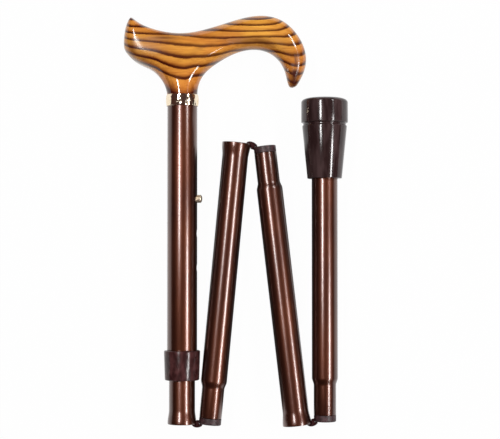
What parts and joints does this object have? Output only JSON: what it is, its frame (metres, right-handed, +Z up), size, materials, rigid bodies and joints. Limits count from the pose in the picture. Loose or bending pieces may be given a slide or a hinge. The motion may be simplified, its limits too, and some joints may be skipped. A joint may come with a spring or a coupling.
{
  "type": "folding walking cane",
  "caption": "Folding, height-adjustable walking cane with a lacquered wooden derby handle, bronze tubes joined by elastic cord, a locking collar and a rubber foot, shown folded.",
  "frame": {"origin": "centre of the folded cane's footprint, on the surface that it lies on", "axes": "+Z up; the axes of all four tubes lie in one level plane; +Y along the handle's tube towards the handle; +X towards the foot section"},
  "size_m": [0.1651, 0.3032, 0.0344],
  "materials": {
    "wood": "clear gloss lacquer over scorched golden-brown wood with dark grain bands",
    "brass": "polished",
    "bronze_tube": "gloss bronze-brown metallic coat on drawn aluminium tube",
    "brown_plastic": "semi-gloss dark brown",
    "black_plastic": "satin",
    "white_nylon": "natural nylon",
    "elastic_cord": "braided cover, matt",
    "rubber": "dark brown, slight sheen",
    "steel": "zinc plated"
  },
  "bodies": {
    "handle_section": {"handle": "wood", "handle_ring": "brass", "handle_plug": "white_nylon", "handle_screw": "steel", "outer_tube": "bronze_tube", "collar_bush": "white_nylon"},
    "locking_collar": {"locking_collar": "brown_plastic"},
    "adjustable_section": {"inner_tube": "bronze_tube", "elastic_anchor_top": "white_nylon", "elastic_crimp_top": "steel", "elastic_run_1": "elastic_cord", "button_spring": "steel"},
    "snap_button": {"snap_button": "brass"},
    "elastic_link_1": {"elastic_bend_1": "elastic_cord"},
    "section_2": {"section_2_tube": "bronze_tube", "section_2_cap": "black_plastic", "elastic_run_2": "elastic_cord"},
    "elastic_link_2": {"elastic_bend_2": "elastic_cord"},
    "section_3": {"section_3_tube": "bronze_tube", "section_3_cap": "black_plastic", "elastic_run_3": "elastic_cord"},
    "elastic_link_3": {"elastic_bend_3": "elastic_cord"},
    "section_4": {"section_4_tube": "bronze_tube", "section_4_cap": "black_plastic", "elastic_run_4": "elastic_cord", "elastic_anchor_foot": "white_nylon", "elastic_crimp_foot": "steel", "ferrule_washer": "steel", "ferrule": "rubber"}
  },
  "joints": [
    {"name": "collar_twist", "type": "hinge", "parent": "handle_section", "child": "locking_collar", "pos_m": [-0.0395, -0.1486, 0.0172], "axis": [0, 1, 0], "range_deg": [0, 180]},
    {"name": "height_adjust", "type": "slide", "parent": "handle_section", "child": "adjustable_section", "axis": [0, -1, 0], "range_m": [0, 0.0508], "deforming": ["snap_button"]},
    {"name": "button_press", "type": "slide", "parent": "adjustable_section", "child": "snap_button", "axis": [-1, 0, 0], "range_m": [0, 0.0052], "stiffness_N_per_m": 400, "springref_m": -0.003, "deforming": ["button_spring"]},
    {"name": "fold_1", "type": "hinge", "parent": "adjustable_section", "child": "elastic_link_1", "pos_m": [-0.02933, -0.1491, 0.0172], "axis": [0, 0, -1], "range_deg": [0, 174.6], "deforming": ["elastic_bend_1"]},
    {"name": "seat_1", "type": "slide", "parent": "elastic_link_1", "child": "section_2", "axis": [-0.0941, -0.9956, 0], "range_m": [0, 0.0318]},
    {"name": "fold_2", "type": "hinge", "parent": "section_2", "child": "elastic_link_2", "pos_m": [0.0106, 0.05706, 0.0172], "axis": [0, 0, 1], "range_deg": [0, 167.95], "deforming": ["elastic_bend_2"]},
    {"name": "seat_2", "type": "slide", "parent": "elastic_link_2", "child": "section_3", "axis": [-0.1158, 0.9933, 0], "range_m": [0, 0.03395]},
    {"name": "fold_3", "type": "hinge", "parent": "section_3", "child": "elastic_link_3", "pos_m": [0.05507, -0.14863, 0.0172], "axis": [0, 0, -1], "range_deg": [0, 173.35], "deforming": ["elastic_bend_3"]},
    {"name": "seat_3", "type": "slide", "parent": "elastic_link_3", "child": "section_4", "axis": [0, -1, 0], "range_m": [0, 0.0326]}
  ],
  "couplings": [
    {"joint": "fold_2", "follows": "fold_1", "ratio": 0.9619},
    {"joint": "fold_3", "follows": "fold_1", "ratio": 0.99284},
    {"joint": "seat_2", "follows": "seat_1", "ratio": 1.0676},
    {"joint": "seat_3", "follows": "seat_1", "ratio": 1.0251}
  ]
}
